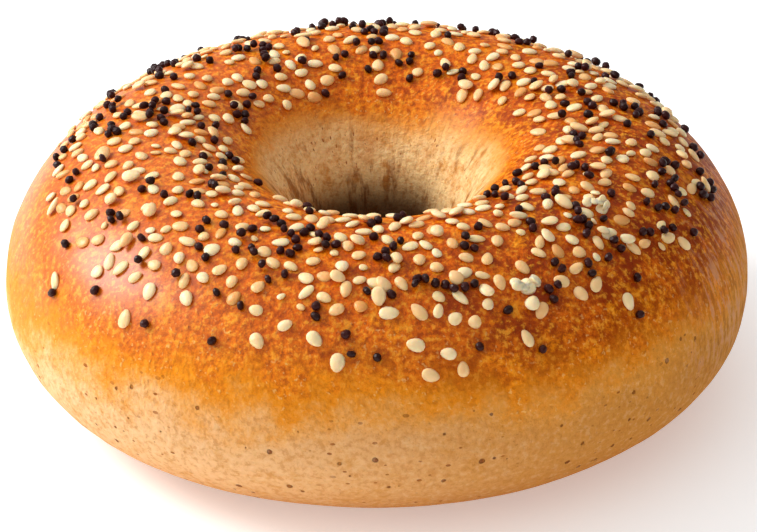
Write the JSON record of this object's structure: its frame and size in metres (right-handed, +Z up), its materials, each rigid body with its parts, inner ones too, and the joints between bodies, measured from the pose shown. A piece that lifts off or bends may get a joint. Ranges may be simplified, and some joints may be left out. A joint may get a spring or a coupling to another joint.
{
  "type": "seeded bagel",
  "caption": "Baked ring of bread with a glossy golden-brown crown, a paler belly and a narrow flared hole, scattered with sesame and poppy seeds on top.",
  "frame": {"origin": "on the surface the bagel rests on, under the middle of the whole bagel", "axes": "+Z up along the hole; +X to the right and -Y to the front, where the stray seeds run lowest"},
  "size_m": [0.11, 0.11, 0.0416],
  "materials": {
    "baked_crust": "glossy baked crust, brown on the crown and pale gold on the belly",
    "sesame_seed": "smooth satin, lightly toasted cream",
    "poppy_seed": "fine-grained satin, blue-black"
  },
  "bodies": {
    "root": {"bagel_ring": "baked_crust", "sesame_seed_01": "sesame_seed", "sesame_seed_02": "sesame_seed", "sesame_seed_03": "sesame_seed", "sesame_seed_04": "sesame_seed", "sesame_seed_05": "sesame_seed", "sesame_seed_06": "sesame_seed", "sesame_seed_07": "sesame_seed", "sesame_seed_08": "sesame_seed", "sesame_seed_09": "sesame_seed", "sesame_seed_10": "sesame_seed", "sesame_seed_11": "sesame_seed", "sesame_seed_12": "sesame_seed", "sesame_seed_13": "sesame_seed", "sesame_seed_14": "sesame_seed", "sesame_seed_15": "sesame_seed", "sesame_seed_16": "sesame_seed", "sesame_seed_17": "sesame_seed", "sesame_seed_18": "sesame_seed", "sesame_seed_19": "sesame_seed", "sesame_seed_20": "sesame_seed", "sesame_seed_21": "sesame_seed", "sesame_seed_22": "sesame_seed", "sesame_seed_23": "sesame_seed", "sesame_seed_24": "sesame_seed", "sesame_seed_25": "sesame_seed", "sesame_seed_26": "sesame_seed", "sesame_seed_27": "sesame_seed", "sesame_seed_28": "sesame_seed", "sesame_seed_29": "sesame_seed", "sesame_seed_30": "sesame_seed", "poppy_seed_01": "poppy_seed", "poppy_seed_02": "poppy_seed", "poppy_seed_03": "poppy_seed", "poppy_seed_04": "poppy_seed", "poppy_seed_05": "poppy_seed", "poppy_seed_06": "poppy_seed", "poppy_seed_07": "poppy_seed", "poppy_seed_08": "poppy_seed", "poppy_seed_09": "poppy_seed", "poppy_seed_10": "poppy_seed", "poppy_seed_11": "poppy_seed", "poppy_seed_12": "poppy_seed", "poppy_seed_13": "poppy_seed", "poppy_seed_14": "poppy_seed", "poppy_seed_15": "poppy_seed", "poppy_seed_16": "poppy_seed", "poppy_seed_17": "poppy_seed", "poppy_seed_18": "poppy_seed", "poppy_seed_19": "poppy_seed", "poppy_seed_20": "poppy_seed", "poppy_seed_21": "poppy_seed", "poppy_seed_22": "poppy_seed", "poppy_seed_23": "poppy_seed", "poppy_seed_24": "poppy_seed", "poppy_seed_25": "poppy_seed", "poppy_seed_26": "poppy_seed", "poppy_seed_27": "poppy_seed", "poppy_seed_28": "poppy_seed", "poppy_seed_29": "poppy_seed"}
  },
  "joints": []
}
